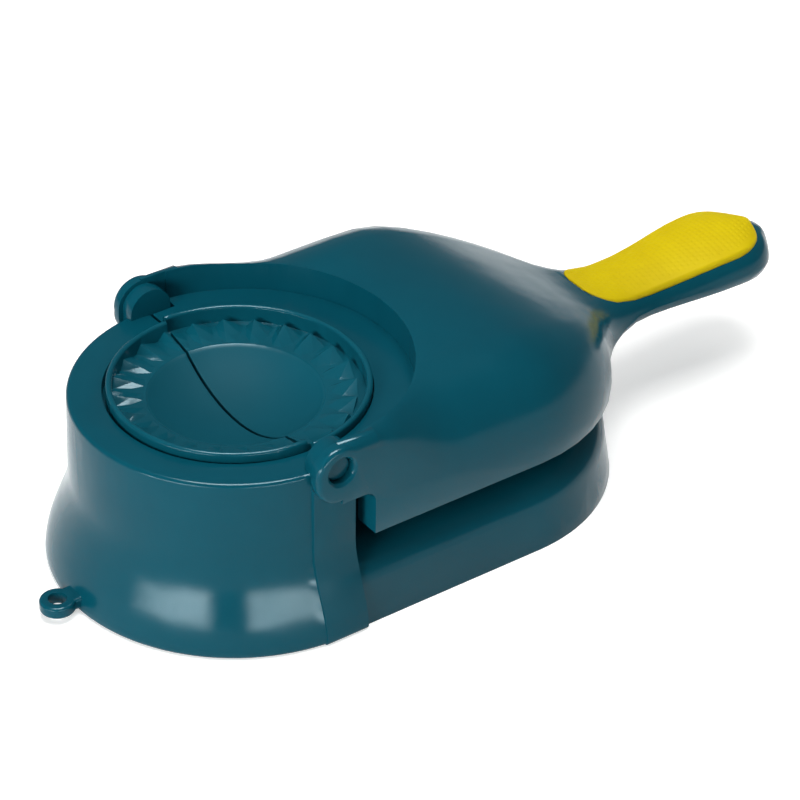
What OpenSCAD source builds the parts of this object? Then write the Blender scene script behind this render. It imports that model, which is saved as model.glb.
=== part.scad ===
// Hand press for filled dough turnovers.
// A hollow base carries a round tower with one half of a pleated mould and a low platform with
// a dough plate. A lid with a long handle swings on two pins at the tower. It carries the other
// half of the mould in a sunk ledge and a round pressing disc under its roof.
// Lid down: the disc flattens a ball of dough on the plate. Lid swung right over: one half of
// the mould folds onto the other and the rims crimp the turnover shut.

/* [Mould] */
// Outer radius of the rim of the fixed mould half
rim_r = 40.5; // [38:0.5:41]
// Width of the mould rims
rim_wall = 2; // [1.6:0.1:2.2]
// Gap between the rims, the moving one closing round the fixed one
rim_nest = 0.4; // [0.3:0.05:0.6]
// Height of the rims above the tower top
rim_proud = 2.75; // [2.7:0.05:3]
// Depth from the rim top to the outer end of each pleat ridge
ridge_drop = 3; // [2.4:0.1:3.6]
// Depth from the rim top to the knee of each pleat ridge
knee_drop = 4.5; // [4:0.1:5]
// Depth from the rim top to the floor of the pleat pockets
pocket_drop = 5.7; // [5.2:0.1:6.4]
// Depth from the rim top to the bottom of the bowl
bowl_depth = 16; // [13:0.5:20]
// Radius at which the pleat pockets run out into the bowl
pocket_r = 28; // [26:0.5:30]
// Radius of the outer end of the pleats in the moving half
pleat_r = 38.2; // [36:0.1:38.4]
// Radius of the knee in each pleat ridge
knee_r = 32.8; // [31.5:0.1:34]
// Number of pleats round the whole rim
pleats = 24; // [16:2:32]
// Angle of the first pleat ridge
pleat_phase = 2.5; // [0:0.5:7]
// Share of a pleat's breadth that its steep side takes
pleat_steep = 0.3; // [0.2:0.05:0.4]
// Wall of the bowl
bowl_wall = 2; // [1.6:0.1:2.6]
// Gap between the two mould halves
split_gap = 1; // [0.8:0.1:1.6]

/* [Tower] */
// Radius of the tower wall
tower_r = 52.8; // [50:0.1:56]
// Height of the tower top
tower_h = 60.2; // [56:0.2:64]
// Rounding of the tower's top edge
tower_round = 1.5; // [1:0.5:3]
// Draft of the tower wall from top to foot
tower_draft = 1.1; // [0.4:0.1:1.2]
// How far the foot of the tower flares out
flare_w = 7.7; // [5:0.1:9]
// Height of the flare
flare_h = 32; // [24:1:36]
// Rounding of the tower's lower edge
toe_r = 1.8; // [1:0.1:1.8]
// Distance from the mould centre to the back edges of the tower wall
tower_back = 8; // [7.6:0.1:8.2]
// Width of the flat strips at the sides of the tower
strip_w = 15.4; // [14:0.2:17]
// How far the face of a side strip stands out from the tower's top
strip_proud = 1.2; // [0.8:0.1:1.6]

/* [Platform] */
// Distance from the mould centre to the centre of the platform's round end
platform_x = 76.5; // [74:0.5:80]
// Radius of the platform's round end at the foot
platform_r = 59.4; // [58:0.1:60.6]
// Height of the platform top
platform_h = 24; // [20:0.5:26]
// Draft of the platform wall up to its shoulder
platform_draft = 2.2; // [1:0.1:3]
// Breadth of the rounded shoulder
shoulder_w = 16; // [10:0.5:17]
// Height of the rounded shoulder
shoulder_h = 10; // [6:0.5:12]
// Wall of the base moulding
wall = 2.4; // [2:0.1:2.8]
// Thickness of the ribs under the platform
rib_t = 2; // [1.4:0.1:3]

/* [Hanging ring] */
// Distance from the mould centre to the centre of the ring
ring_x = 67.2; // [66:0.2:69]
// Outer radius of the ring
ring_r = 5.8; // [5:0.1:6.6]
// Radius of the hole in the ring
ring_hole_r = 3; // [2.4:0.1:3.4]
// Thickness of the ring
ring_t = 4.2; // [3:0.2:5]
// Height of the ring's underside
ring_z = 2; // [0.5:0.5:3]
// Rounding of the ring's edges
ring_round = 1.1; // [0.5:0.1:1.3]
// Width of the ring's neck
ring_neck = 8.2; // [6:0.2:9]

/* [Hinge] */
// Depth of the hinge axis below the plane of the rims
hinge_under = 1.2; // [1:0.05:1.25]
// Radius of the hinge pins
pin_r = 4.5; // [3.5:0.1:4.8]
// Running clearance of the pins in the ears
pin_clear = 0.06; // [0.03:0.01:0.1]
// Seating clearance of the pins in the lugs
seat_clear = 0.02; // [0.01:0.01:0.04]
// How far a pin's end lies inside the face of the ear
pin_recess = 2.6; // [1:0.1:2.8]
// Thickness of the lugs
lug_t = 5; // [4.4:0.1:5.2]
// Radius of the round tops of the lugs
lug_r = 7.4; // [7:0.1:7.6]
// Web left behind each pin in its lug
lug_web = 1; // [0.8:0.1:1.5]
// Radius of the round top and bottom of the ears
ear_r = 8.8; // [8.4:0.1:9.2]
// Height of the straight part between them
ear_straight = 2.4; // [1:0.2:3]
// Thickness of the ears
ear_t = 4.2; // [3.8:0.1:4.6]
// Rounding of the ears' outer edges
ear_round = 1.6; // [0.8:0.1:2.4]
// Height of the pin above the middle of the ear
ear_lift = 1.5; // [0:0.1:1.8]
// Chamfer round the pin hole
ear_chamfer = 0.9; // [0.4:0.1:1.2]
// Running gap between ear and tower strip
ear_gap = 0.3; // [0.25:0.05:0.5]

/* [Lid] */
// Height of the lid's top
lid_top = 70.6; // [69.8:0.1:72]
// Height of the skirt's lower edge
skirt_z = 33.5; // [31:0.5:36]
// Distance from the mould centre to the front edge of the skirt
skirt_x = 12.4; // [11.6:0.2:14]
// Height of the arm's lower edge between ear and skirt
arm_z = 49.9; // [49.1:0.1:52]
// Rounding in the corner between arm and skirt
notch_r = 4; // [2:0.5:5]
// Edge rounding of the lid beside the ears
edge_r = 4; // [3:0.5:6]
// Edge rounding of the lid along its sides
side_r = 24; // [18:1:28]
// Height of the edge rounding as a share of its breadth
edge_tall = 1.12; // [0.9:0.02:1.2]
// Where the wide edge rounding is reached
side_x = 46; // [40:1:56]
// Where the edge rounding starts to narrow towards the handle
back_x = 92; // [86:1:110]
// Wall of the lid moulding
lid_wall = 2.4; // [2:0.1:2.8]
// Gap between the tower and the lid's round cut-out
cut_gap = 1.5; // [1.3:0.1:2]
// Offset of the cut-out's centre behind the mould centre
cut_x = 2.2; // [1.8:0.1:3]
// Depth of the skirt's end walls, from its side inwards
end_wall_w = 9.5; // [6:0.5:9.5]

/* [Handle] */
// Where the top starts to fall towards the handle
dome_x = 70; // [60:1:76]
// Where the neck is lowest
neck_x = 157; // [152:1:162]
// Height of the top at the neck
neck_z = 44; // [42:0.2:46]
// Half width of the neck
neck_w = 14.7; // [14:0.1:17]
// Radius of the hollow sides between lid and neck
neck_fillet = 35; // [30:1:42]
// Where the handle is highest and widest
palm_x = 194; // [188:1:197]
// Height of the handle at its highest
palm_z = 46.8; // [45:0.2:48]
// Half width of the handle at its widest
palm_w = 17.2; // [16:0.2:19]
// Distance from the mould centre to the tip of the handle
tip_x = 215; // [212:1:220]
// Height of the top at the tip
tip_z = 46; // [43:0.5:47]
// Edge rounding along the handle
handle_edge = 7; // [5:0.5:8]

/* [Grip] */
// Where the grip insert starts
grip_x0 = 135.5; // [134:0.5:142]
// Length of handle left behind the grip insert
grip_end = 5; // [4.4:0.2:7]
// Rounding of the front corners of the grip insert
grip_corner = 8; // [4:0.5:10]
// Width of the handle left beside the grip insert
grip_border = 2.6; // [2:0.1:3.4]
// Depth of the grip insert's bed
grip_t = 2.6; // [2:0.1:3]
// How far the grip insert stands above the handle
grip_proud = 2.8; // [1.6:0.1:3]
// Crown of the grip insert across its width
grip_crown = 2.4; // [1:0.1:2.6]
// Length over which the grip insert rises from flush at its front
grip_lead = 30; // [16:1:40]
// Gap round the grip insert in its bed
grip_clear = 0.12; // [0.08:0.02:0.2]

/* [Pressing] */
// Radius of the dough plate and of the pressing disc
plate_r = 40; // [34:0.5:41]
// Height of the dough plate's face above the platform
plate_rise = 4; // [3:0.2:6]
// Depth to which the dough plate is sunk into the platform
plate_sink = 1.2; // [0.8:0.1:1.4]
// Thickness to which the dough is pressed
dough_t = 1.8; // [1.2:0.1:2.6]
// Width of the raised lip round the dough plate
lip_w = 1.8; // [1.2:0.1:2.6]
// Gap between lip and pressing disc with the lid down
lip_gap = 0.25; // [0.2:0.05:0.4]
// Gap round the dough plate in its seat
plate_clear = 0.25; // [0.15:0.05:0.4]
// Thickness of the pressing disc
disc_t = 3; // [2.4:0.1:4]
// Height of the stiffening wall on the back of the disc
disc_wall_h = 6; // [3:0.5:9]
// Spacing of the posts that carry the disc, along and across the lid
post_pitch = 42; // [36:1:44]
// Radius of the posts
post_r = 3.6; // [3:0.1:4]
// Clearance of the posts in their sockets
post_clear = 0.05; // [0.02:0.01:0.1]
// Height of the sockets on the disc
socket_h = 9; // [6:0.5:12]

/* [Hidden] */
$fn = 96;
eps = 0.01;
big = 400;

teal = "#20586b";
teal_light = "#2b6a7c";
grip_yellow = "#d9c412";

// Places worked out from the sizes above
rim_z = tower_h + rim_proud;
hinge_z = rim_z - hinge_under;
ridge_z = rim_z - ridge_drop;
knee_z = rim_z - knee_drop;
pocket_z = rim_z - pocket_drop;
bowl_z = rim_z - bowl_depth;
bowl_sphere_r = (pow(pocket_r, 2) + pow(pocket_z - bowl_z, 2)) / (2 * (pocket_z - bowl_z));
bowl_centre_z = bowl_z + bowl_sphere_r;
strip_y = tower_r + strip_proud;
lug_y = strip_y - lug_t;
flange_z = pocket_z - bowl_wall * 0.8;
pleat_pitch = 360 / pleats;
pleat_bury = 0.35;

// The sunk seat that each mould half drops into
seat_t = wall;
seat_gap = 1.2;
moving_gap = 0.4;
seat_shelf = 3.4;
seat_wall = 2.4;
hook_t = 1.4;
hook_w = 8;
hook_lip = 0.9;
hook_gap = 0.25;
hook_angles = [-55, 0, 55];

// Hinge
ear_in_y = strip_y + ear_gap;
ear_z = hinge_z - ear_lift;
ear_clear_r = ear_r + 0.2;
lid_half_w = ear_in_y + ear_t;
arm_in = 1;
cut_r = tower_r + cut_gap;
lug_root = 6;
bay_y = lug_y - ear_gap;
ledge_front = split_gap / 2;

// Lid, handle and grip
plate_z = platform_h + plate_rise;
lip_z = plate_z + dough_t;
disc_z = lip_z + lip_gap;
tip_centre_x = tip_x - palm_w;
grip_x1 = tip_x - grip_end;
fillet_y = neck_w + neck_fillet;
fillet_x = platform_x + sqrt(pow(lid_half_w + neck_fillet, 2) - pow(fillet_y, 2));
fillet_start = platform_x + (fillet_x - platform_x) * lid_half_w / (lid_half_w + neck_fillet);
bed_ramp = 14;
grip_flush = 0.4;
bed_wall = 2.2;
tip_slice = 0.35;
tip_lift = 3;
arc_steps = 7;
low_round = 4.5;
low_round_min = 0.3;
low_round_x = 128;
low_land = 0.5;
edge_land = 0.2;
cavity_x = tip_x - 3.6;
cavity_foot = 1.2;
groove_h = 0.3;

// The origin lies on the ground under the middle of the whole press
origin_x = (tip_x - tip_slice - ring_x - ring_r) / 2;

// Radii of the rim and of its seat: side 1 is the moving half, side -1 the fixed one
function rim_out(side) = side > 0 ? rim_r + rim_nest + rim_wall : rim_r;
function rim_in(side) = rim_out(side) - rim_wall;
function seat_in(side) = rim_out(side) - seat_shelf;
function seat_out(side) = rim_out(side) + (side > 0 ? moving_gap : seat_gap);

// Smooth step from 0 to 1, and a smooth ramp between two values
function blend(t) = t <= 0 ? 0 : t >= 1 ? 1 : (1 - cos(180 * t)) / 2;
function ramp(x, x0, v0, x1, v1) = v0 + (v1 - v0) * blend((x - x0) / (x1 - x0));
function sum(v, i = 0) = i == len(v) ? 0 : v[i] + sum(v, i + 1);
function polar(r, a, z) = [r * cos(a), r * sin(a), z];

// Share of its full size that the handle has left at x, as it rounds off to the tip
function tip_share(x) =
  x <= tip_centre_x ? 1 : sqrt(max(0, 1 - pow((x - tip_centre_x) / (tip_x - tip_centre_x), 2)));

// Half width of the lid and handle at x
function half_w(x) =
  x <= platform_x ? lid_half_w :
  x <= fillet_start ? sqrt(pow(lid_half_w, 2) - pow(x - platform_x, 2)) :
  x <= fillet_x ? fillet_y - sqrt(pow(neck_fillet, 2) - pow(x - fillet_x, 2)) :
  ramp(x, fillet_x, neck_w, palm_x, palm_w) * tip_share(x);

// Height of the lid and handle along the middle
function top_z(x) =
  x <= neck_x ? ramp(x, dome_x, lid_top, neck_x, neck_z) :
  x <= palm_x ? ramp(x, neck_x, neck_z, palm_x, palm_z) :
  ramp(x, palm_x, palm_z, tip_x, tip_z);

// Breadth and height of the rounded edge at x
function edge_w(x) = min(
  half_w(x) * 0.72,
  x < side_x ? ramp(x, skirt_x - 4, edge_r, side_x, side_r) :
  ramp(x, back_x, side_r, neck_x, handle_edge));
function edge_h(x) = min(edge_w(x) * edge_tall, (top_z(x) - skirt_z) * 0.86);

// Radius of the rounding along the lower edge, and height of that edge
function low_r(x) =
  max(ramp(x, low_round_x, low_round_min, neck_x, low_round) * tip_share(x), low_round_min);
function lift(x) = (1 - tip_share(x)) * tip_lift;
function floor_z(x) = skirt_z + lift(x);
function roof_z(x) = top_z(x) - lift(x);

// Height of the lid's outer surface at x and y
function skin_z(x, y) =
  let (u = max(0, (y - half_w(x) + edge_w(x)) / edge_w(x)))
  roof_z(x) - edge_h(x) * (1 - sqrt(max(0, 1 - u * u)));

// Thickness of the side wall measured straight across, thicker where the outline runs aslant
function side_wall(x) =
  max(lid_wall * sqrt(1 + pow(half_w(x + 0.5) - half_w(x - 0.5), 2)), low_r(x) + low_land);

// Point on the rounded upper edge, at angle s from its start
function edge_point(x, s) =
  let (a = edge_w(x), b = edge_h(x))
  [half_w(x) - a + a * sin(s), max(roof_z(x) - b + b * cos(s), floor_z(x) + low_r(x) + edge_land)];

// Angle on the rounded upper edge at which its half width is y
function edge_angle(x, y) = asin(min(1, max(0, (y - half_w(x) + edge_w(x)) / edge_w(x))));

// Half outline outside: roof or bed, rounded edge, side, rounded lower edge
function outer_half(x) =
  let (
    bedded = x > bed_x0 - eps && x < bed_x1 + eps,
    y = bedded ? grip_w(x) + grip_clear : (half_w(x) - edge_w(x)) * 0.9,
    z = bedded ? roof_z(x) - grip_t : roof_z(x),
    steps = bedded ? 3 : 4,
    s0 = edge_angle(x, y),
    s1 = edge_angle(x, y + 0.3),
    c = low_r(x)
  )
  concat(
    [for (i = [0:3]) [y * i / steps, z]],
    [[y, edge_point(x, s0)[1]]],
    [for (i = [0:arc_steps]) edge_point(x, s1 + (90 - s1) * i / arc_steps)],
    [for (i = [0:2]) let (s = 45 * i) [half_w(x) - c + c * cos(s), floor_z(x) + c - c * sin(s)]]
  );

// Half outline inside, which closes down to a shallow groove near the tip
function inner_half(x) =
  let (
    open = x < cavity_x,
    w = max(half_w(x) - side_wall(x), 0.5),
    h = open ? cavity_foot : groove_h,
    drop = ramp(x, grip_x0 - bed_ramp, lid_wall, grip_x0 - 2, grip_t + bed_wall),
    top = open ? top_z(x) - lift(x) - drop : floor_z(x) + h,
    a = min(max(edge_w(x) - lid_wall, 0.8), w * 0.8),
    b = open ? max(min(edge_h(x) - lid_wall, top - floor_z(x) - h), 0) : 0,
    low = floor_z(x) + h
  )
  concat(
    [for (i = [0:4]) [(w - a) * i / 5, top]],
    [for (i = [0:arc_steps]) let (s = 90 * i / arc_steps)
      [w - a + a * sin(s), max(top - b + b * cos(s), low)]],
    [for (i = [2:-1:0]) [w, floor_z(x) + h * i / 4]]
  );

// A half outline with its mirror image, from the lower edge on one side to that on the other
function both_sides(x, half) =
  let (n = len(half))
  concat(
    [for (i = [n - 1:-1:1]) [x, -half[i][0], half[i][1]]],
    [for (p = half) [x, p[0], p[1]]]
  );

function reversed(v) = [for (i = [len(v) - 1:-1:0]) v[i]];

// Triangles between neighbouring rings of n points each
function side_faces(m, n) = [
  for (j = [0:m - 2]) for (i = [0:n - 1]) let (k = (i + 1) % n)
    each [
      [j * n + i, (j + 1) * n + k, (j + 1) * n + i],
      [j * n + i, j * n + k, (j + 1) * n + k]
    ]
];

// A solid skinned over rings of points, each end closed by a fan from its middle
module skin(rings) {
  n = len(rings[0]);
  m = len(rings);
  ends = [for (ring = [rings[0], rings[m - 1]]) [for (c = [0:2]) sum([for (p = ring) p[c]]) / n]];
  points = concat([for (ring = rings) for (p = ring) p], ends);
  front = [for (i = [0:n - 1]) [m * n, (i + 1) % n, i]];
  back = [for (i = [0:n - 1]) [m * n + 1, (m - 1) * n + i, (m - 1) * n + (i + 1) % n]];
  polyhedron(points, concat(side_faces(m, n), front, back), convexity = 6);
}

// A hollow solid over rings that run along the outside and back along the inside
module hollow_skin(rings) {
  n = len(rings[0]);
  m = len(rings);
  half = n / 2;
  last = (m - 1) * n;
  caps = [
    for (i = [0:half - 2]) let (o = i, p = i + 1, q = n - 1 - i, r = n - 2 - i)
      each [
        [o, q, r], [o, r, p],
        [last + o, last + r, last + q], [last + o, last + p, last + r]
      ]
  ];
  polyhedron([for (ring = rings) for (p = ring) p], concat(side_faces(m, n), caps), convexity = 8);
}

// Stations along the grip insert: rounded corners in front, a round end at the back
grip_last_x = palm_x + (grip_x1 - palm_x) * sin(84);
grip_straight = palm_x - grip_x0 - grip_corner;
grip_stations = concat(
  [for (d = [0, 0.05, 0.2, 0.5, 1]) grip_x0 + grip_corner * d],
  [for (i = [1:6]) grip_x0 + grip_corner + grip_straight * i / 7],
  [for (a = [0:15:75]) palm_x + (grip_x1 - palm_x) * sin(a)],
  [grip_last_x]
);
bed_x0 = grip_x0 - grip_clear;
bed_x1 = grip_last_x + grip_clear;
bed_end = 0.3;

// Stations along the lid and handle, closer together where the outline turns quickly
turn = asin((fillet_start - platform_x) / lid_half_w);
lid_stations = concat(
  [for (i = [0:6]) skirt_x + (side_x - skirt_x) * i / 6],
  [for (i = [1:3]) side_x + (platform_x - side_x) * i / 3],
  [for (i = [1:7]) platform_x + lid_half_w * sin(turn * i / 7)],
  [for (i = [1:5]) let (x = fillet_x - neck_fillet * sin(turn * (1 - i / 6)))
    if (x < bed_x0 - bed_end * 3) x],
  [bed_x0 - bed_end, bed_x0],
  [for (i = [1:len(grip_stations) - 2]) grip_stations[i]],
  [bed_x1, bed_x1 + bed_end],
  [for (d = [4.5, 3.8, 3.4, 2.4, 1, tip_slice]) tip_x - d]
);

// Lid and handle as one hollow moulding, open below, with the bed of the grip insert
module lid_form() {
  hollow_skin([
    for (x = lid_stations) concat(both_sides(x, outer_half(x)), reversed(both_sides(x, inner_half(x))))
  ]);
}

// Half width of the grip insert at x
function grip_w(x) =
  let (
    w = half_w(max(fillet_x, min(x, palm_x))) - grip_border,
    d = min(1, max(0, (x - grip_x0) / grip_corner)),
    back = min(sin(84), max(0, (x - palm_x) / (grip_x1 - palm_x)))
  )
  (w - grip_corner * (1 - sqrt(1 - pow(1 - d, 2)))) * sqrt(1 - pow(back, 2));

// Height of the grip insert's top: along the handle's skin in front, crowned further back
function grip_top(x, y) =
  let (rise = blend((x - grip_x0) / grip_lead))
  (1 - rise) * (skin_z(x, abs(y)) + grip_flush) +
  rise * (roof_z(x) + grip_proud - grip_crown * pow(y / grip_w(x), 2));

// One cross section of the grip insert: upright sides and a crowned top
function grip_section(x) =
  let (w = grip_w(x), n = 4, low = roof_z(x) - grip_t)
  concat(
    [for (i = [-n:n]) [x, w * i / n, grip_top(x, w * i / n)]],
    [[x, w, low], [x, -w, low]]
  );

// Puts a piece drawn round the mould centre into the frame of the whole press
module placed() {
  translate([-origin_x, 0, 0]) children();
}

// Keeps what lies behind (side 1) or in front (side -1) of a plane at x
module keep(side, x) {
  intersection() {
    children();
    translate([side > 0 ? x : x - big, -big / 2, -big / 2]) cube(big);
  }
}

// One pleat: it rises steeply to its ridge, then falls gently to the foot of the next one
module pleat(ridge_a, out_r) {
  sink = bowl_wall * 0.4;
  in_r = pocket_r - pleat_bury / 2;
  foot_a = ridge_a + pleat_steep * pleat_pitch - pleat_bury / 2;
  valley_a = ridge_a - (1 - pleat_steep) * pleat_pitch + pleat_bury / 2;
  low = pocket_z - sink;
  buried = pocket_z - pleat_bury;
  points = [
    polar(out_r, foot_a, low),
    polar(out_r, foot_a, buried),
    polar(knee_r, foot_a, buried),
    polar(in_r, foot_a, buried - pleat_bury / 2),
    polar(in_r, foot_a, low),
    polar(out_r, ridge_a, ridge_z),
    polar(knee_r, ridge_a, knee_z),
    polar(in_r, ridge_a, buried),
    polar(out_r, valley_a, low),
    polar(out_r, valley_a, buried),
    polar(knee_r, valley_a, buried),
    polar(in_r, valley_a, buried - pleat_bury / 2),
    polar(in_r, valley_a, low)
  ];
  polyhedron(points, [
    [0, 1, 2], [0, 2, 4], [2, 3, 4],
    [1, 5, 6], [1, 6, 2], [2, 6, 7], [2, 7, 3],
    [5, 9, 10], [5, 10, 6], [6, 10, 11], [6, 11, 7],
    [0, 8, 9], [0, 9, 5], [0, 5, 1],
    [3, 7, 4], [7, 11, 12], [7, 12, 4],
    [8, 10, 9], [8, 12, 10], [10, 12, 11],
    [4, 12, 8], [4, 8, 0]
  ]);
}

// Profile of the mould: rounded rim, flange and bowl
module mould_profile(side) {
  round_r = rim_wall / 2;
  difference() {
    union() {
      intersection() {
        translate([0, bowl_centre_z]) circle(bowl_sphere_r + bowl_wall);
        translate([0, bowl_z - bowl_wall * 2]) square([pocket_r + bowl_wall * 2, pocket_z - bowl_z + bowl_wall * 2]);
      }
      translate([pocket_r - bowl_wall, flange_z])
        square([rim_out(side) - pocket_r + bowl_wall, pocket_z - flange_z]);
      translate([rim_in(side), flange_z]) square([rim_wall, rim_z - round_r - flange_z]);
      translate([rim_in(side) + round_r, rim_z - round_r]) circle(round_r);
    }
    translate([0, bowl_centre_z]) circle(bowl_sphere_r);
    translate([-big, 0]) square([big, big]);
  }
}

// Snap hook under the flange: it grips the lower edge of the seat
module snap_hook(a, side) {
  top = flange_z + eps * 10;
  catch_z = flange_z - seat_t - hook_gap;
  out = seat_in(side) - hook_gap;
  rotate([0, 0, a]) translate([0, hook_w / 2, 0]) rotate([90, 0, 0]) linear_extrude(hook_w)
    polygon([
      [out - hook_t, top],
      [out, top],
      [out, catch_z],
      [out + hook_lip, catch_z],
      [out, catch_z - hook_lip * 1.4],
      [out - hook_t, catch_z - hook_lip * 1.4]
    ]);
}

// One half of the mould: side 1 is the moving half, side -1 the fixed one
module mould_half(side) {
  middle = side > 0 ? 0 : 180;
  count = pleats / 2;
  keep(side, side * split_gap / 2) union() {
    rotate_extrude() mould_profile(side);
    for (k = [-floor(count / 2):ceil(count / 2) + 1])
      pleat(
        pleat_phase + round(middle / pleat_pitch) * pleat_pitch + k * pleat_pitch,
        side > 0 ? pleat_r : rim_in(side) + pleat_bury);
  }
  for (a = hook_angles) snap_hook(middle + a, side);
}

// Stepped seat for one mould half: a collar with an inner shelf
module mould_seat(out_r, side) {
  rotate_extrude() polygon([
    [seat_in(side), flange_z - seat_t],
    [seat_out(side) + seat_wall, flange_z - seat_t],
    [seat_out(side) + seat_wall, tower_h - wall],
    [out_r, tower_h - wall],
    [out_r, tower_h],
    [seat_out(side), tower_h],
    [seat_out(side), flange_z],
    [seat_in(side), flange_z]
  ]);
}

// Height at which a form starts: the ground, or just below it for a hollow
function foot_z(inset) = inset > 0 ? -eps : 0;

// Radius of the tower wall at z: drafted, and swept out to the foot in one smooth curve
function wall_r(z) =
  tower_r + tower_draft * (1 - z / tower_h) + flare_w * blend(1 - z / flare_h);

// Radius of the side strips at z: upright, with the same sweep at the foot
function strip_r(z) = strip_y + flare_w * blend(1 - z / flare_h);

// Outer profile of the tower or a strip: rounded lower edge, swept foot, wall, rounded top edge
function tower_profile(inset, top, round_r, strip) =
  let (
    toe = inset > 0 ? 0 : toe_r,
    z0 = inset > 0 ? foot_z(inset) : toe_r,
    foot_r = (strip ? strip_r(toe) : wall_r(toe)) - inset,
    top_r = (strip ? strip_r(top) : wall_r(top)) - inset
  )
  concat(
    [[0, foot_z(inset)]],
    toe > 0
      ? [for (i = [0:4]) let (s = 90 * i / 4) [foot_r - toe + toe * sin(s), toe - toe * cos(s)]]
      : [[foot_r, foot_z(inset)]],
    [for (i = [1:14]) let (z = z0 + (flare_h - z0) * i / 14)
      [(strip ? strip_r(z) : wall_r(z)) - inset, z]],
    round_r > 0
      ? [for (i = [0:5]) let (s = 90 * i / 5)
          [top_r - round_r + round_r * cos(s), top - round_r + round_r * sin(s)]]
      : [[top_r, top]],
    [[0, top]]
  );

// The tower's form: a half turn in front, carried straight on to its back edges
module tower_form(inset, top, round_r) {
  keep(-1, eps) rotate_extrude() polygon(tower_profile(inset, top, round_r, false));
  rotate([90, 0, 90]) linear_extrude(tower_back) {
    polygon(tower_profile(inset, top, round_r, false));
    mirror([1, 0]) polygon(tower_profile(inset, top, round_r, false));
  }
}

// Flat strips at the tower's sides, which follow the flare down to the ground
module side_strips() {
  translate([tower_back - strip_w, 0, 0]) rotate([90, 0, 90]) linear_extrude(strip_w)
    for (m = [0, 1]) mirror([m, 0]) difference() {
      polygon(tower_profile(0, tower_h, 0, true));
      translate([0, -1]) square([lug_y, tower_h + 2]);
    }
}

// Outer profile of the platform: drafted wall and rounded shoulder
function platform_profile(inset, top) =
  let (
    r0 = platform_r - inset,
    r1 = r0 - platform_draft,
    z1 = top - shoulder_h
  )
  concat(
    [[0, foot_z(inset)], [r0, foot_z(inset)]],
    [for (i = [0:9]) let (s = 10 * i) [r1 - shoulder_w * (1 - cos(s)), z1 + shoulder_h * sin(s)]],
    [[0, top]]
  );

module platform_form(inset, top, x0) {
  translate([platform_x, 0, 0]) keep(1, -eps) rotate_extrude() polygon(platform_profile(inset, top));
  translate([x0, 0, 0]) rotate([90, 0, 90]) linear_extrude(platform_x - x0) {
    polygon(platform_profile(inset, top));
    mirror([1, 0]) polygon(platform_profile(inset, top));
  }
}

// Tombstone lugs that carry the hinge pins
module lugs() {
  for (m = [0, 1]) mirror([0, m, 0]) {
    translate([0, strip_y, hinge_z]) rotate([90, 0, 0]) cylinder(h = strip_y - lug_y, r = lug_r);
    translate([-lug_r, lug_y, tower_h - lug_root])
      cube([2 * lug_r, strip_y - lug_y, hinge_z - tower_h + lug_root]);
  }
}

// Ribs that stiffen the platform under the dough plate
module platform_ribs() {
  inner_h = platform_h - wall + eps;
  intersection() {
    union() {
      for (x = [-plate_r / 2, plate_r / 2])
        translate([platform_x + x - rib_t / 2, -platform_r, wall]) cube([rib_t, 2 * platform_r, inner_h]);
      translate([tower_back, -rib_t / 2, wall]) cube([platform_x + platform_r - tower_back, rib_t, inner_h]);
    }
    platform_form(wall / 2, platform_h - wall / 2, 0);
  }
}

// Half of a section with rounded corners: half width w, height h
module rounded_half(w, h) {
  translate([w - ring_round, ring_round]) circle(ring_round);
  translate([w - ring_round, h - ring_round]) circle(ring_round);
  square([w - ring_round, h]);
  translate([0, ring_round]) square([w, h - 2 * ring_round]);
}

// Ring with rounded edges on a narrower neck
module hanging_ring() {
  neck_end = wall_r(ring_z + ring_t) - wall / 2;
  translate([-ring_x, 0, ring_z]) rotate_extrude() rounded_half(ring_r, ring_t);
  translate([-ring_x, 0, ring_z]) rotate([90, 0, 90]) linear_extrude(ring_x - neck_end)
    for (m = [0, 1]) mirror([m, 0]) rounded_half(ring_neck / 2, ring_t);
}

module base_shell() color(teal) placed() {
  floor_z = platform_h - wall;
  back_wall_x = -ledge_front;
  bay_side = tower_r - wall;
  difference() {
    union() {
      difference() {
        union() {
          tower_form(0, tower_h, tower_round);
          side_strips();
          platform_form(0, platform_h, 0);
        }
        keep(-1, back_wall_x - wall) tower_form(wall, tower_h - wall, 0);
        translate([back_wall_x, -bay_side, platform_h]) cube([tower_back * 2, 2 * bay_side, tower_h]);
        platform_form(wall, floor_z, back_wall_x - wall - 1);
        translate([0, 0, flange_z - seat_t - 1]) cylinder(h = tower_h, r = seat_out(-1) + eps);
        translate([0, 0, bowl_z - bowl_wall - 1]) cylinder(h = tower_h, r = seat_in(-1) - 1);
      }
      keep(-1, back_wall_x) mould_seat(tower_r - tower_round - 1, -1);
      lugs();
      platform_ribs();
      hanging_ring();
    }
    translate([platform_x, 0, platform_h - plate_sink])
      cylinder(h = plate_rise, r = plate_r + plate_clear);
    for (m = [0, 1]) mirror([0, m, 0])
      translate([0, lug_y + lug_web, hinge_z]) rotate([-90, 0, 0])
        cylinder(h = strip_y, r = pin_r + seat_clear);
    translate([-ring_x, 0, 0]) cylinder(h = ring_t * 3, r = ring_hole_r);
  }
}

module fixed_mould_half() color(teal_light) placed() mould_half(-1);

module moving_mould_half() color(teal_light) placed() mould_half(1);

module dough_plate() color(teal_light) placed() translate([platform_x, 0, platform_h - plate_sink])
  difference() {
    cylinder(h = lip_z - platform_h + plate_sink, r = plate_r);
    translate([0, 0, plate_rise + plate_sink]) cylinder(h = dough_t * 2, r = plate_r - lip_w);
  }

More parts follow.
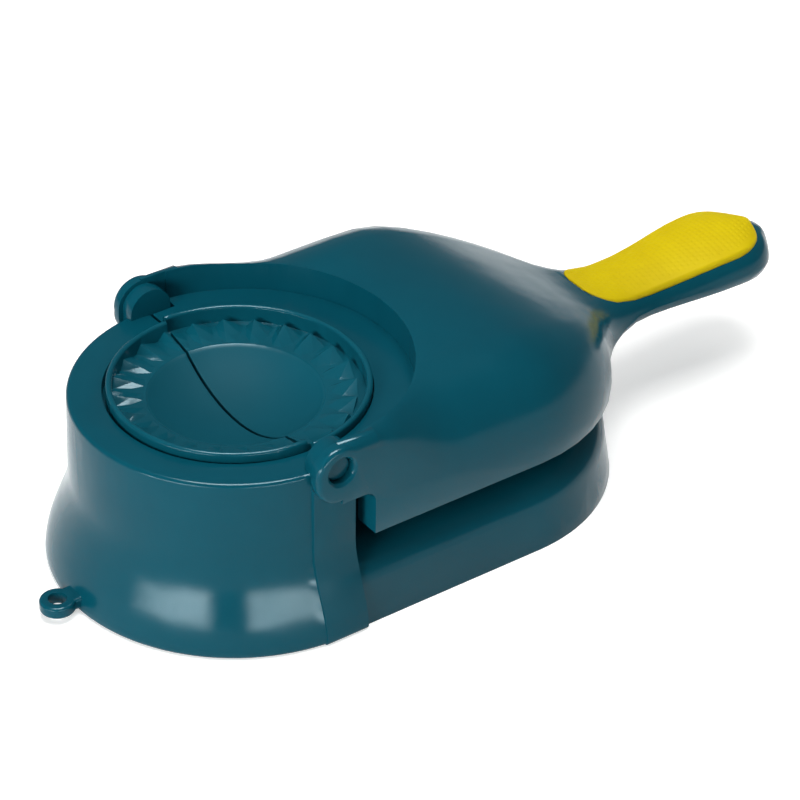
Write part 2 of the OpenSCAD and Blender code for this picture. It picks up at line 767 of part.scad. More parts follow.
module hinge_pin(side) {
  inner = lug_y + lug_web + seat_clear;
  outer = lid_half_w - pin_recess;
  chamfer = 0.6;
  placed() translate([0, 0, hinge_z]) rotate([-90 * side, 0, 0]) {
    translate([0, 0, inner]) cylinder(h = outer - inner - chamfer, r = pin_r);
    translate([0, 0, outer - chamfer]) cylinder(h = chamfer, r1 = pin_r, r2 = pin_r - chamfer);
  }
}

module hinge_pin_near() color(teal) hinge_pin(-1);

module hinge_pin_far() color(teal) hinge_pin(1);

// One ear: round above and below, with a rounded outer edge
module ear() {
  for (m = [-1, 1]) translate([0, 0, ear_z + m * ear_straight / 2]) rotate([-90, 0, 0])
    rotate_extrude() polygon(concat(
      [[0, ear_in_y], [ear_r, ear_in_y]],
      [for (i = [0:4]) let (s = 90 * i / 4)
        [ear_r - ear_round + ear_round * cos(s), lid_half_w - ear_round + ear_round * sin(s)]],
      [[0, lid_half_w]]
    ));
  translate([-ear_r, ear_in_y, ear_z - ear_straight / 2])
    cube([ear_r, ear_t - ear_round, ear_straight]);
}

// The arm that joins an ear to the skirt, rounded above like the lid
module arm() {
  intersection() {
    translate([0, lid_half_w, 0]) rotate([90, 0, 0]) linear_extrude(ear_t + arm_in) {
      translate([0, arm_z]) square([skirt_x + 1, lid_top - arm_z]);
      difference() {
        translate([skirt_x - notch_r, arm_z - notch_r]) square([notch_r + 1, notch_r + 1]);
        translate([skirt_x - notch_r, arm_z - notch_r]) circle(notch_r);
      }
    }
    rotate([90, 0, 90]) linear_extrude(skirt_x + 1) polygon(concat(
      [[ear_in_y - arm_in, arm_z - notch_r], [lid_half_w, arm_z - notch_r]],
      [for (i = [0:6]) let (s = 90 * i / 6)
        [lid_half_w - edge_r + edge_r * cos(s), lid_top - edge_r + edge_r * sin(s)]],
      [[ear_in_y - arm_in, lid_top]]
    ));
  }
}

// Ledge in the lid that carries the moving half of the mould
module lid_ledge() {
  keep(1, ledge_front) difference() {
    mould_seat(cut_r + cut_x + 1, 1);
    translate([-big / 2, bay_y, 0]) cube([big / 2 + ear_clear_r, big, big]);
    translate([-big / 2, -big - bay_y, 0]) cube([big / 2 + ear_clear_r, big, big]);
    difference() {
      translate([0, 0, 0]) cylinder(h = big, r = big);
      translate([cut_x, 0, -1]) cylinder(h = big + 2, r = cut_r + lid_wall / 2);
    }
  }
}

// Upright wall round the cut-out, from the ledge up into the rounded roof
module cut_wall() {
  base_z = tower_h - wall;
  out_r = cut_r + lid_wall;
  first_a = asin((ear_clear_r - cut_x) / out_r);
  crest = [for (i = [0:12]) let (a = first_a + (90 - first_a) * i / 12)
    [out_r * cos(a), skin_z(cut_x + out_r * sin(a), out_r * cos(a)) - lid_wall / 4]];
  intersection() {
    keep(1, ear_clear_r) translate([cut_x, 0, base_z]) difference() {
      cylinder(h = lid_top - base_z, r = out_r);
      translate([0, 0, -1]) cylinder(h = big, r = cut_r);
    }
    rotate([90, 0, 90]) linear_extrude(big) polygon(concat(
      [[out_r + 1, base_z], [out_r + 1, crest[0][1]]],
      crest,
      [for (i = [11:-1:0]) [-crest[i][0], crest[i][1]]],
      [[-out_r - 1, crest[0][1]], [-out_r - 1, base_z]]
    ));
  }
}

function post_places() = [
  for (x = [-1, 1]) for (y = [-1, 1]) [platform_x + x * post_pitch / 2, y * post_pitch / 2]
];

module lid_shell() color(teal) placed() {
  difference() {
    union() {
      lid_form();
      cut_wall();
      for (m = [0, 1]) mirror([0, m, 0]) {
        ear();
        arm();
        translate([skirt_x, lid_half_w - end_wall_w, skirt_z])
          cube([lid_wall, end_wall_w - lid_wall / 2, tower_h - skirt_z - wall / 2]);
      }
      for (p = post_places())
        translate([p[0], p[1], disc_z + disc_t + 1])
          cylinder(h = top_z(p[0] + post_r) - lid_wall / 2 - disc_z - disc_t - 1, r = post_r);
    }
    translate([cut_x, 0, tower_h - wall - 1]) cylinder(h = big, r = cut_r);
    translate([-big, -ear_in_y, skirt_z - 1]) cube([big + ear_clear_r, 2 * ear_in_y, big]);
    for (m = [0, 1]) mirror([0, m, 0]) translate([0, ear_in_y - 1, hinge_z]) rotate([-90, 0, 0]) {
      cylinder(h = ear_t + 2, r = pin_r + pin_clear);
      translate([0, 0, ear_t + 1 - ear_chamfer])
        cylinder(h = ear_chamfer + eps, r1 = pin_r + pin_clear, r2 = pin_r + pin_clear + ear_chamfer);
    }
  }
  lid_ledge();
}

module press_disc() color(teal_light) placed() translate([platform_x, 0, disc_z]) {
  wall_r = plate_r - 3;
  difference() {
    union() {
      cylinder(h = disc_t, r = plate_r);
      difference() {
        cylinder(h = disc_t + disc_wall_h, r = wall_r);
        translate([0, 0, disc_t]) cylinder(h = disc_wall_h * 2, r = wall_r - wall);
      }
      for (p = post_places())
        translate([p[0] - platform_x, p[1], 0]) cylinder(h = disc_t + socket_h, r = post_r + wall);
    }
    for (p = post_places())
      translate([p[0] - platform_x, p[1], disc_t + 1 - post_clear])
        cylinder(h = socket_h * 2, r = post_r + post_clear);
  }
}

module grip_insert() color(grip_yellow) placed() skin([for (x = grip_stations) grip_section(x)]);

base_shell();
fixed_mould_half();
dough_plate();
hinge_pin_near();
hinge_pin_far();
lid_shell();
moving_mould_half();
press_disc();
grip_insert();
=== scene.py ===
"""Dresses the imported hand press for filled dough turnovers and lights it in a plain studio."""

from __future__ import annotations

import logging
import math
from dataclasses import dataclass
from enum import Enum

import bmesh
import bpy
import numpy as np
from mathutils import Matrix, Vector


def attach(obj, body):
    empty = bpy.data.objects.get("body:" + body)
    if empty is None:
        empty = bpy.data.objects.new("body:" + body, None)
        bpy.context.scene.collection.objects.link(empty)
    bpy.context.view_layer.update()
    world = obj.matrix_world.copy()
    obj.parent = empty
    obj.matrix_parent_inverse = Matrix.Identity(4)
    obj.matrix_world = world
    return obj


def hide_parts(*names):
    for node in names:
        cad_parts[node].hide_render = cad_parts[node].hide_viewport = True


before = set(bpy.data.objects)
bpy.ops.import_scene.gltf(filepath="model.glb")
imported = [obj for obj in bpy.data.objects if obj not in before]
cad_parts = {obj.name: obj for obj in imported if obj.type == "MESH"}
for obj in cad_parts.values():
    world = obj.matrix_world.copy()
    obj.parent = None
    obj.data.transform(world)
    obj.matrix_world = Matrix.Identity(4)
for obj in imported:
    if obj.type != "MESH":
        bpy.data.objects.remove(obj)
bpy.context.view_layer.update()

LOG = logging.getLogger("press")
MM = 0.001

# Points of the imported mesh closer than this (metres) are one point.
SAME_POINT = 2e-6
# Points of a laid grid closer than this (metres) are one point.
GRID_MERGE = 1e-7
# Faces that meet within this angle (degrees) are joined to one flat face.
FLAT_ANGLE = 0.6
# Shares of the grip's half width at which its height is read, and the powers of the square of the
# share that are fitted through them.
SHARES = np.linspace(0, 1, 5)
POWERS = np.arange(4)
# Places of the first input, the second input and the output of Blender's mix node, by data type.
MIX_SOCKETS = {"FLOAT": (2, 3, 0), "RGBA": (6, 7, 2)}

Socket = bpy.types.NodeSocket
Colour = tuple[float, float, float]


class Body(Enum):
    """The two rigid bodies of the press."""

    BASE = "base"
    LID = "lid"


class Slot(Enum):
    """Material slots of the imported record."""

    SHELL = "teal_shell"
    MOULD = "teal_mould"
    PIN = "teal_pin"
    GRIP = "yellow_grip"


# ---------------------------------------------------------------- finishes


class Nodes:
    """Small helper that lays shader nodes and joins them."""

    def __init__(self, name: str) -> None:
        """Starts an empty node material with that name.

        Args:
            name: Name of the material.
        """
        self.material = bpy.data.materials.new(name)
        self.material.use_nodes = True
        self.tree = self.material.node_tree
        self.tree.nodes.clear()
        self.place = self.add("ShaderNodeTexCoord").outputs["Object"]

    def add(self, kind: str, **sockets: object) -> bpy.types.Node:
        """Adds a node and fills its sockets.

        Args:
            kind: Blender's name of the node type.
            **sockets: Socket name (spaces as underscores) to a value or an output to join.

        Returns:
            The new node.
        """
        node = self.tree.nodes.new(kind)
        for key, value in sockets.items():
            self.feed(node, key.replace("_", " "), value)
        return node

    def feed(self, node: bpy.types.Node, key: str | int, value: object) -> None:
        """Sets one input socket, or joins an output to it.

        Args:
            node: Node whose input is set.
            key: Name or place of the socket.
            value: A value, or an output socket.
        """
        socket = node.inputs[key]
        if isinstance(value, Socket):
            self.tree.links.new(value, socket)
        else:
            socket.default_value = value

    def noise(self, scale: float, detail: float = 3.0, roughness: float = 0.5) -> Socket:
        """Adds a noise over the object's own coordinates and returns its factor.

        Args:
            scale: Repeats per metre.
            detail: Number of finer layers.
            roughness: Weight of the finer layers.

        Returns:
            The factor output.
        """
        node = self.add(
            "ShaderNodeTexNoise", Vector=self.place, Scale=scale, Detail=detail, Roughness=roughness
        )
        return node.outputs["Fac"]

    def spread(self, value: Socket, low: float, high: float, edges: tuple[float, float]) -> Socket:
        """Maps a factor between two edges to a range.

        Args:
            value: Factor to map.
            low: Result at the first edge.
            high: Result at the second edge.
            edges: The two factor values.

        Returns:
            The mapped value.
        """
        node = self.add(
            "ShaderNodeMapRange", Value=value, From_Min=edges[0], From_Max=edges[1], To_Min=low, To_Max=high
        )
        return node.outputs["Result"]

    def mix(self, kind: str, factor: Socket, first: object, second: object) -> Socket:
        """Mixes two values by a factor.

        Args:
            kind: Data type of the two, FLOAT or RGBA.
            factor: Share of the second.
            first: Value or output where the factor is 0.
            second: Value or output where the factor is 1.

        Returns:
            The mixed value.
        """
        place_a, place_b, result = MIX_SOCKETS[kind]
        node = self.tree.nodes.new("ShaderNodeMix")
        node.data_type = kind
        self.feed(node, "Factor", factor)
        self.feed(node, place_a, first)
        self.feed(node, place_b, second)
        return node.outputs[result]

    def two_tone(self, factor: Socket, first: Colour, second: Colour) -> Socket:
        """Mixes two colours by a factor.

        Args:
            factor: Share of the second colour.
            first: First colour, linear RGB.
            second: Second colour, linear RGB.

        Returns:
            The mixed colour.
        """
        return self.mix("RGBA", factor, (*first, 1.0), (*second, 1.0))

    def reckon(self, operation: str, first: object, second: object) -> Socket:
        """Joins two values by one step of arithmetic.

        Args:
            operation: Blender's name of the operation.
            first: Value or output.
            second: Value or output.

        Returns:
            The result.
        """
        node = self.add("ShaderNodeMath")
        node.operation = operation
        self.feed(node, 0, first)
        self.feed(node, 1, second)
        return node.outputs[0]

    def finish(self, shader: Socket) -> bpy.types.Material:
        """Joins the shader to the output.

        Args:
            shader: The surface shader.

        Returns:
            The finished material.
        """
        self.add("ShaderNodeOutputMaterial", Surface=shader)
        return self.material


@dataclass(frozen=True)
class MouldedPlastic:
    """Satin injection-moulded plastic: even colour, faint flow marks, fine grain, softly worn gloss.

    Attributes:
        name: Name of the material.
        colour: Main colour, linear RGB.
        flow_colour: Colour of the flow marks, linear RGB.
        flow_scale: Flow marks per metre.
        flow_edges: Noise values between which the flow marks set in.
        roughness: Middle roughness.
        roughness_swing: How far the roughness wanders to either side.
        wear_scale: Worn patches per metre.
        wear_edges: Noise values between which the roughness wanders.
        gloss: Specular level.
        matte_under: Height in metres below which the surface is matte, or None for nowhere.
        matte_blend: Height over which matte turns to polished.
        matte_roughness: Roughness of the matte surface.
        matte_gloss: Specular level of the matte surface.
        grain: Grains per metre.
        grain_depth: Depth of the grain in metres.
        sink: Sink marks per metre.
        sink_depth: Depth of the sink marks in metres.
        bump_strength: Strength of grain and sink marks.
        ior: Refractive index of ABS or polypropylene.
        tint: Tint of the highlights, linear RGBA.
    """

    name: str
    colour: Colour
    flow_colour: Colour
    flow_scale: float = 26.0
    flow_edges: tuple[float, float] = (0.3, 0.72)
    roughness: float = 0.17
    roughness_swing: float = 0.03
    wear_scale: float = 90.0
    wear_edges: tuple[float, float] = (0.25, 0.75)
    gloss: float = 0.14
    matte_under: float | None = None
    matte_blend: float = 1.0 * MM
    matte_roughness: float = 0.62
    matte_gloss: float = 0.05
    grain: float = 2200.0
    grain_depth: float = 0.03 * MM
    sink: float = 60.0
    sink_depth: float = 0.4 * MM
    bump_strength: float = 0.5
    ior: float = 1.49
    tint: tuple[float, float, float, float] = (0.75, 0.94, 1.0, 1.0)

    def build(self) -> bpy.types.Material:
        """Builds the material.

        Returns:
            The material, ready for a slot.
        """
        kit = Nodes(self.name)
        flow = kit.spread(kit.noise(self.flow_scale, 4.0, 0.55), 0.0, 1.0, self.flow_edges)
        colour = kit.two_tone(flow, self.colour, self.flow_colour)
        rough = kit.spread(
            kit.noise(self.wear_scale, 5.0, 0.6), self.roughness - self.roughness_swing,
            self.roughness + self.roughness_swing, self.wear_edges,
        )
        gloss = self.gloss
        if self.matte_under is not None:
            rough, gloss = self.matted(kit, rough)
        broad = kit.add(
            "ShaderNodeBump", Strength=self.bump_strength, Distance=self.sink_depth,
            Height=kit.noise(self.sink, 1.0),
        )
        fine = kit.add(
            "ShaderNodeBump", Strength=self.bump_strength, Distance=self.grain_depth,
            Height=kit.noise(self.grain, 2.0), Normal=broad.outputs["Normal"],
        )
        shader = kit.add(
            "ShaderNodeBsdfPrincipled", Base_Color=colour, Roughness=rough, IOR=self.ior,
            Normal=fine.outputs["Normal"], Specular_IOR_Level=gloss, Specular_Tint=self.tint,
        )
        return kit.finish(shader.outputs["BSDF"])

    def matted(self, kit: Nodes, rough: Socket) -> tuple[Socket, Socket]:
        """Makes the surface matte below a height, as in the bowl of a mould.

        Args:
            kit: Node helper of the material.
            rough: Roughness of the polished part.

        Returns:
            The roughness and the gloss, which pass to the matte ones across matte_blend.
        """
        height = kit.add("ShaderNodeSeparateXYZ", Vector=kit.place).outputs["Z"]
        edges = (self.matte_under - self.matte_blend / 2, self.matte_under + self.matte_blend / 2)
        polish = kit.spread(height, 0.0, 1.0, edges)
        blend = kit.mix("FLOAT", polish, self.matte_roughness, rough)
        return blend, kit.spread(height, self.matte_gloss, self.gloss, edges)


@dataclass(frozen=True)
class SoftGrip:
    """Matt soft plastic of the grip, a little darker where hands have been.

    Attributes:
        name: Name of the material.
        colour: Main colour, linear RGB.
        worn_colour: Colour of the worn patches, linear RGB.
        patch_scale: Worn patches per metre.
        patch_edges: Noise values between which the patches set in.
        roughness: Least and greatest roughness.
        roughness_scale: Changes of the roughness per metre.
        roughness_edges: Noise values between which the roughness changes.
        grain: Grains per metre.
        grain_depth: Depth of the grain in metres.
        bump_strength: Strength of the grain.
        gloss: Specular level.
        ior: Refractive index of a soft elastomer.
    """

    name: str
    colour: Colour
    worn_colour: Colour
    patch_scale: float = 70.0
    patch_edges: tuple[float, float] = (0.32, 0.7)
    roughness: tuple[float, float] = (0.48, 0.62)
    roughness_scale: float = 400.0
    roughness_edges: tuple[float, float] = (0.3, 0.7)
    grain: float = 2600.0
    grain_depth: float = 0.05 * MM
    bump_strength: float = 0.5
    gloss: float = 0.06
    ior: float = 1.46

    def build(self) -> bpy.types.Material:
        """Builds the material.

        Returns:
            The material, ready for a slot.
        """
        kit = Nodes(self.name)
        patch = kit.spread(kit.noise(self.patch_scale, 4.0, 0.6), 0.0, 1.0, self.patch_edges)
        colour = kit.two_tone(patch, self.colour, self.worn_colour)
        rough = kit.spread(kit.noise(self.roughness_scale), *self.roughness, self.roughness_edges)
        bump = kit.add(
            "ShaderNodeBump", Strength=self.bump_strength, Distance=self.grain_depth,
            Height=kit.noise(self.grain, 2.0),
        )
        shader = kit.add(
            "ShaderNodeBsdfPrincipled", Base_Color=colour, Roughness=rough, IOR=self.ior,
            Normal=bump.outputs["Normal"], Specular_IOR_Level=self.gloss,
        )
        return kit.finish(shader.outputs["BSDF"])


@dataclass(frozen=True)
class Finishes:
    """The finishes of the press, one material each.

    Attributes:
        shell: Teal plastic of the shells and pins.
        mould: The same plastic, a little lighter and matte in the bowl.
        grip: Yellow soft plastic.
    """

    shell: bpy.types.Material
    mould: bpy.types.Material
    grip: bpy.types.Material

    @classmethod
    def mixed(cls) -> "Finishes":
        """Builds every finish once.

        Returns:
            The set of finishes.
        """
        teal = MouldedPlastic("teal_shell_plastic", (0.0015, 0.064, 0.095), (0.002, 0.073, 0.107))
        light = MouldedPlastic(
            "teal_mould_plastic", (0.002, 0.073, 0.106), (0.003, 0.082, 0.118), matte_under=56.9 * MM
        )
        yellow = SoftGrip("yellow_grip_plastic", (0.70, 0.54, 0.0015), (0.65, 0.485, 0.0012))
        return cls(teal.build(), light.build(), yellow.build())


# ---------------------------------------------------------------- meshes


def dress(piece: bpy.types.Object, material: bpy.types.Material) -> None:
    """Gives a piece one material in all its slots.

    Args:
        piece: Mesh object.
        material: Its finish.
    """
    piece.data.materials.clear()
    piece.data.materials.append(material)


def add_piece(name: str, mesh: bpy.types.Mesh, body: Body, node: str) -> bpy.types.Object:
    """Links a new piece, ties it to its body and hides the CAD node that it replaces.

    Args:
        name: Name of the piece.
        mesh: Its mesh, in the frame of the CAD.
        body: Rigid body that it moves with.
        node: CAD node that it replaces.

    Returns:
        The new object.
    """
    piece = bpy.data.objects.new(name, mesh)
    bpy.context.scene.collection.objects.link(piece)
    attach(piece, body.value)
    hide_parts(node)
    return piece


@dataclass(frozen=True)
class Softened:
    """A CAD node with its loose triangles joined, smooth curves and rounded edges.

    Attributes:
        node: CAD node whose mesh is copied.
        name: Name of the piece.
        body: Rigid body that it moves with.
        slot: Material slot of the record that it belongs to; not used.
        rounding: Width of the rounded edges in metres.
        sharp: Least angle in degrees at which an edge is rounded.
        segments: Faces across a rounded edge.
    """

    node: str
    name: str
    body: Body
    slot: Slot
    rounding: float
    sharp: float = 32.0
    segments: int = 3

    def build(self) -> bpy.types.Object:
        """Copies the node's mesh, tidies it and rounds its sharp edges.

        Returns:
            The new piece, which stands for the node.
        """
        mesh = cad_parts[self.node].data.copy()
        mesh.name = self.name
        work = bmesh.new()
        work.from_mesh(mesh)
        bmesh.ops.remove_doubles(work, verts=work.verts, dist=SAME_POINT)
        bmesh.ops.dissolve_limit(
            work, angle_limit=math.radians(FLAT_ANGLE), verts=work.verts, edges=work.edges
        )
        work.to_mesh(mesh)
        work.free()
        mesh.shade_smooth()
        piece = add_piece(self.name, mesh, self.body, self.node)
        bevel = piece.modifiers.new("rounding", "BEVEL")
        bevel.width = self.rounding
        bevel.segments = self.segments
        bevel.limit_method = "ANGLE"
        bevel.angle_limit = math.radians(self.sharp)
        bevel.harden_normals = True
        bevel.use_clamp_overlap = True
        return piece


def smooth_through(x: np.ndarray, knots: np.ndarray, values: np.ndarray) -> np.ndarray:
    """Runs a smooth curve through a row of points without overshooting.

    Between two knots the value follows the cubic 2t3 - 3t2 + 1 and its partners, with the slope at
    each knot taken as the harmonic mean of the slopes on either side, or zero at a turning point.

    Args:
        x: Places to evaluate.
        knots: Rising places of the points.
        values: Values at the knots.

    Returns:
        The value at each x.
    """
    step = np.diff(knots)
    rise = np.diff(values) / step
    product = rise[:-1] * rise[1:]
    inner = np.where(product > 0, 2 * product / np.where(product > 0, rise[:-1] + rise[1:], 1.0), 0.0)
    slope = np.concatenate([[rise[0]], inner, [rise[-1]]])
    i = np.clip(np.searchsorted(knots, x) - 1, 0, len(step) - 1)
    t = np.clip((x - knots[i]) / step[i], 0.0, 1.0)
    return (
        values[i] * (2 * t**3 - 3 * t**2 + 1) + values[i + 1] * (3 * t**2 - 2 * t**3)
        + slope[i] * step[i] * (t**3 - 2 * t**2 + t) + slope[i + 1] * step[i] * (t**3 - t**2)
    )


def grid_mesh(name: str, points: np.ndarray, wrap: bool, capped: bool) -> bpy.types.Mesh:
    """Makes a mesh of quads over a grid of points.

    Args:
        name: Name of the mesh.
        points: Array of rows, columns and coordinates.
        wrap: Joins the last column to the first.
        capped: Closes the first and the last row with one face each.

    Returns:
        The mesh, with doubles merged and normals outward.
    """
    rows, columns = points.shape[:2]
    index = np.arange(rows * columns).reshape(rows, columns)
    if wrap:
        index = np.concatenate([index, index[:, :1]], axis=1)
    corners = [index[:-1, :-1], index[:-1, 1:], index[1:, 1:], index[1:, :-1]]
    faces = [tuple(q) for q in np.stack(corners, axis=-1).reshape(-1, 4).tolist()]
    if capped:
        faces += [tuple(index[0, :columns].tolist()), tuple(index[-1, :columns][::-1].tolist())]
    mesh = bpy.data.meshes.new(name)
    mesh.from_pydata(points.reshape(-1, 3).tolist(), [], faces)
    work = bmesh.new()
    work.from_mesh(mesh)
    bmesh.ops.remove_doubles(work, verts=work.verts, dist=GRID_MERGE)
    bmesh.ops.recalc_face_normals(work, faces=work.faces)
    work.to_mesh(mesh)
    work.free()
    mesh.shade_smooth()
    return mesh


@dataclass(frozen=True)
class GripPad:
    """The soft grip insert: crowned top, softly rounded rim and rows of small dimples.

    Attributes:
        node: CAD node that gives the outline and the heights.
        section_points: A cross section of the node has more points than this.
        floor_band: Points higher than this above the floor belong to the top.
        pitch: Distance of the dimples.
        dimple: Radius of a dimple.
        depth: Depth of a dimple.
        margin: Width of the plain border.
        fade: Width over which the dimples set in.
        edge: Radius of the rounded rim.
        along: Rows of the grid along X.
        across: Columns of the grid across the top.
        under: Columns of the grid across the floor.
        end_crowding: How much the rows crowd at the ends, 0 for even rows and 1 for a cosine.
        rim_crowding: Power that crowds the columns at the rim, 1 for even columns.
    """

    node: str = "grip_insert"
    section_points: int = 8
    floor_band: float = 0.1 * MM
    pitch: float = 2.0 * MM
    dimple: float = 0.42 * MM
    depth: float = 0.16 * MM
    margin: float = 2.0 * MM
    fade: float = 0.5 * MM
    edge: float = 0.8 * MM
    along: int = 330
    across: int = 132
    under: int = 9
    end_crowding: float = 0.25
    rim_crowding: float = 1.15

    def stations(self) -> tuple[np.ndarray, ...]:
        """Reads the node's cross sections.

        Returns:
            The rising places along X, and at each the half width, the floor, and the heights of
            the top at 0, 1/4, 1/2, 3/4 and all of the half width, one row per share.
        """
        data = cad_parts[self.node].data
        flat = np.empty(len(data.vertices) * 3)
        data.vertices.foreach_get("co", flat)
        v = flat.reshape(-1, 3)
        rows = [v[np.abs(v[:, 0] - x) < SAME_POINT] for x in np.unique(np.round(v[:, 0], 6))]
        rows = [r for r in rows if len(r) > self.section_points]
        half = np.array([np.abs(r[:, 1]).max() for r in rows])
        low = np.array([r[:, 2].min() for r in rows])
        tops = [r[r[:, 2] > r[:, 2].min() + self.floor_band] for r in rows]
        heights = [
            [t[np.argmin(np.abs(np.abs(t[:, 1]) - share * w)), 2] for t, w in zip(tops, half)]
            for share in SHARES
        ]
        return np.array([r[0, 0] for r in rows]), half, low, np.array(heights)

    def build(self) -> bpy.types.Object:
        """Lays the surface of the pad over its outline.

        Across the pad the top follows the even cubic in the square of the distance from the
        middle that fits the node's heights best. Each dimple sinks it by depth times
        exp(-(d / dimple)^2), where d is the distance to the nearest point of a grid that is
        staggered from row to row.

        Returns:
            The grip piece.
        """
        knots, half, low, heights = self.stations()
        crowded = 0.5 - 0.5 * np.cos(np.linspace(0, math.pi, self.along))
        even = np.linspace(0, 1, self.along)
        share = self.end_crowding * crowded + (1 - self.end_crowding) * even
        x = knots[0] + (knots[-1] - knots[0]) * share
        half_x = np.sqrt(smooth_through(x, knots, half**2))[:, None]
        low_x = smooth_through(x, knots, low)[:, None]
        heights_x = [smooth_through(x, knots, height) for height in heights]
        fit = np.linalg.pinv(SHARES[:, None] ** (2 * POWERS)) @ heights_x
        u = np.linspace(-1, 1, self.across)[None, :]
        y = half_x * np.sign(u) * (1 - (1 - np.abs(u)) ** self.rim_crowding)
        z = np.einsum("ki,ijk->ij", fit, (y / half_x)[..., None] ** (2 * POWERS))
        row = np.round((x[:, None] - knots[0]) / self.pitch)
        shift = 0.5 * (row % 2)
        dx = (x[:, None] - knots[0]) - row * self.pitch
        dy = (y / self.pitch - shift - np.round(y / self.pitch - shift)) * self.pitch
        inside = np.minimum(half_x - np.abs(y), np.minimum(x - knots[0], knots[-1] - x)[:, None])
        keep = np.clip((inside - self.margin) / self.fade, 0, 1)
        z = z - keep * self.depth * np.exp(-(dx**2 + dy**2) / self.dimple**2)
        edge = np.clip(1 - inside / self.edge, 0, 1)
        z = z - self.edge * (1 - np.sqrt(1 - edge**2))
        top = np.stack(np.broadcast_arrays(x[:, None], y, z), axis=-1)
        under_y = half_x * np.linspace(1, -1, self.under)[None, :]
        floor = np.stack(np.broadcast_arrays(x[:, None], under_y, low_x), axis=-1)
        ring = np.concatenate([top, floor], axis=1)
        mesh = grid_mesh("grip_pad", ring, wrap=True, capped=True)
        return add_piece("grip_pad", mesh, Body.LID, self.node)


@dataclass
class Base:
    """The standing half: shell, fixed mould half, dough plate and hinge pins.

    Attributes:
        finishes: Materials of the press.
    """

    finishes: Finishes

    def build(self) -> list[bpy.types.Object]:
        """Builds and dresses the pieces of the base.

        Returns:
            The pieces, for the log.
        """
        shell = Softened("base_shell", "base_moulding", Body.BASE, Slot.SHELL, 0.5 * MM).build()
        mould = Softened(
            "fixed_mould_half", "fixed_mould", Body.BASE, Slot.MOULD, 0.28 * MM, sharp=14.0, segments=2
        ).build()
        plate = Softened("dough_plate", "dough_plate_disc", Body.BASE, Slot.MOULD, 0.4 * MM).build()
        pins = [
            Softened(node, node.replace("hinge_", ""), Body.BASE, Slot.PIN, 0.25 * MM).build()
            for node in ("hinge_pin_near", "hinge_pin_far")
        ]
        dress(shell, self.finishes.shell)
        for piece in (mould, plate):
            dress(piece, self.finishes.mould)
        for piece in pins:
            dress(piece, self.finishes.shell)
        return [shell, mould, plate, *pins]


@dataclass
class Lid:
    """The swinging half: shell with its handle, moving mould half, pressing disc and grip.

    Attributes:
        finishes: Materials of the press.
    """

    finishes: Finishes

    def build(self) -> list[bpy.types.Object]:
        """Builds and dresses the pieces of the lid.

        Returns:
            The pieces, for the log.
        """
        shell = Softened("lid_shell", "lid_moulding", Body.LID, Slot.SHELL, 0.6 * MM).build()
        mould = Softened(
            "moving_mould_half", "moving_mould", Body.LID, Slot.MOULD, 0.28 * MM, sharp=14.0, segments=2
        ).build()
        disc = Softened("press_disc", "pressing_disc", Body.LID, Slot.MOULD, 0.4 * MM).build()
        pad = GripPad().build()
        dress(shell, self.finishes.shell)
        for piece in (mould, disc):
            dress(piece, self.finishes.mould)
        dress(pad, self.finishes.grip)
        return [shell, mould, disc, pad]


# ---------------------------------------------------------------- studio


@dataclass(frozen=True)
class Lamp:
    """One softbox, aimed at the press: it lights surfaces, or is only mirrored in them, or both.

    Attributes:
        name: Name of the lamp.
        place: Its middle in metres.
        size: Width and height in metres.
        power: Power in watts.
        mirrored: Shows in glossy surfaces.
        lights: Lights matt surfaces.
        target: Point that it faces.
    """

    name: str
    place: tuple[float, float, float]
    size: tuple[float, float]
    power: float
    mirrored: bool = False
    lights: bool = True
    target: tuple[float, float, float] = (-0.02, 0.0, 0.04)

    def hang(self) -> bpy.types.Object:
        """Adds the area lamp.

        Returns:
            The lamp.
        """
        data = bpy.data.lights.new(self.name, "AREA")
        data.shape = "RECTANGLE"
        data.size, data.size_y = self.size
        data.energy = self.power
        lamp = bpy.data.objects.new(self.name, data)
        lamp.location = self.place
        lamp.visible_glossy = self.mirrored
        lamp.visible_diffuse = self.lights
        lamp.rotation_euler = (Vector(self.target) - Vector(self.place)).to_track_quat("-Z", "Y").to_euler()
        bpy.context.scene.collection.objects.link(lamp)
        return lamp


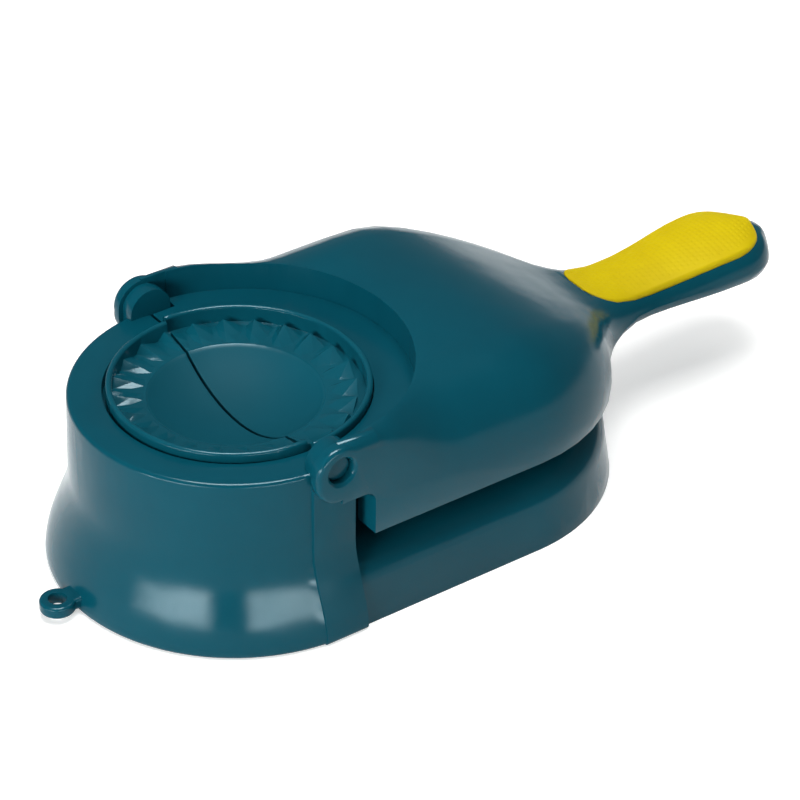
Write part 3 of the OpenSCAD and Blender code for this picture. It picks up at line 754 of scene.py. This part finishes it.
@dataclass(frozen=True)
class Studio:
    """Pale floor, soft lamps, world light and the camera of the photograph.

    Attributes:
        camera_place: Place of the camera in metres.
        azimuth: Turn of the camera about Z in degrees, 0 looks along +Y.
        elevation: Height of the camera above the horizon in degrees.
        roll: Turn of the camera about its own axis in radians.
        lens: Focal length in millimetres.
        sensor: Width of the sensor in millimetres.
        clip: Nearest and farthest distance that the camera sees, in metres.
        floor_size: Width of the floor in metres.
        floor_colour: Colour of the floor, linear RGBA.
        glow_colour: Colour of the floor's own light, linear RGBA.
        floor_glow: Strength of that light for the camera and for reflections.
        sky_colour: Colour of the world, linear RGBA.
        sky_strength: Strength of the world.
    """

    camera_place: tuple[float, float, float] = (-0.569125, -0.7667, 0.6908)
    azimuth: float = -36.24
    elevation: float = 34.82
    roll: float = 0.0166
    lens: float = 160.26
    sensor: float = 36.0
    clip: tuple[float, float] = (0.05, 20.0)
    floor_size: float = 6.0
    floor_colour: tuple[float, float, float, float] = (0.86, 0.86, 0.85, 1.0)
    glow_colour: tuple[float, float, float, float] = (1.0, 1.0, 0.99, 1.0)
    floor_glow: float = 0.5
    sky_colour: tuple[float, float, float, float] = (0.95, 0.97, 1.0, 1.0)
    sky_strength: float = 0.2

    def floor(self) -> None:
        """Lays a pale floor that stays near white for the camera and keeps the soft shadow."""
        half = self.floor_size / 2
        mesh = bpy.data.meshes.new("studio_floor")
        mesh.from_pydata(
            [(-half, -half, 0), (half, -half, 0), (half, half, 0), (-half, half, 0)], [], [(0, 1, 2, 3)]
        )
        floor = bpy.data.objects.new("studio_floor", mesh)
        bpy.context.scene.collection.objects.link(floor)
        kit = Nodes("pale_floor")
        path = kit.add("ShaderNodeLightPath")
        seen = kit.reckon("MAXIMUM", path.outputs["Is Camera Ray"], path.outputs["Is Glossy Ray"])
        shader = kit.add(
            "ShaderNodeBsdfPrincipled", Base_Color=self.floor_colour, Roughness=0.9,
            Emission_Color=self.glow_colour,
            Emission_Strength=kit.reckon("MULTIPLY", seen, self.floor_glow),
        )
        mesh.materials.append(kit.finish(shader.outputs["BSDF"]))

    def world(self) -> None:
        """Lights the studio evenly from all sides with a pale world."""
        world = bpy.data.worlds.new("studio")
        bpy.context.scene.world = world
        world.use_nodes = True
        shade = world.node_tree.nodes["Background"]
        shade.inputs["Color"].default_value = self.sky_colour
        shade.inputs["Strength"].default_value = self.sky_strength

    def lamps(self) -> None:
        """Hangs the softboxes, and the cards that only show as bright bars on the plastic."""
        for lamp in (
            Lamp("top_softbox", (-0.05, -0.1, 1.5), (0.7, 0.7), 13.0),
            Lamp("fill_softbox", (0.5, 0.6, 1.3), (1.4, 1.0), 6.0),
            Lamp("key_softbox", (-1.335, -0.46, 0.42), (0.6, 0.4), 14.0),
            Lamp("top_card", (-0.1, -0.1, 1.2), (0.8, 0.5), 50.0, mirrored=True, lights=False),
            Lamp("left_card", (-1.395, -0.456, 0.085), (1.07, 0.14), 18.0, mirrored=True, lights=False),
            Lamp("front_card", (-0.193, -1.395, 0.085), (1.1, 0.14), 15.0, mirrored=True, lights=False),
        ):
            lamp.hang()

    def camera(self) -> None:
        """Sets the camera at the photograph's place, angle and lens."""
        a, e = math.radians(self.azimuth), math.radians(self.elevation)
        back = Vector((math.sin(a) * math.cos(e), -math.cos(a) * math.cos(e), math.sin(e)))
        right = Vector((math.cos(a), math.sin(a), 0.0))
        up = back.cross(right)
        c, s = math.cos(self.roll), math.sin(self.roll)
        columns = (c * right + s * up, -s * right + c * up, back)
        turn = Matrix([[column[i] for column in columns] for i in range(3)])
        data = bpy.data.cameras.new("photo_camera")
        data.lens = self.lens
        data.sensor_width = self.sensor
        data.clip_start, data.clip_end = self.clip
        camera = bpy.data.objects.new("photo_camera", data)
        camera.matrix_world = Matrix.Translation(self.camera_place) @ turn.to_4x4()
        bpy.context.scene.collection.objects.link(camera)
        bpy.context.scene.camera = camera

    def build(self) -> None:
        """Sets up floor, world, lamps, camera and plain colour handling."""
        self.floor()
        self.world()
        self.lamps()
        self.camera()
        bpy.context.scene.view_settings.view_transform = "Standard"


def main() -> None:
    """Builds the press and its studio in order and logs each piece."""
    logging.basicConfig(level=logging.INFO, format="%(name)s: %(message)s")
    finishes = Finishes.mixed()
    for part in (Base(finishes), Lid(finishes)):
        for piece in part.build():
            LOG.info("%s: %s, %d faces", type(part).__name__, piece.name, len(piece.data.polygons))
    Studio().build()


if __name__ == "__main__":
    main()
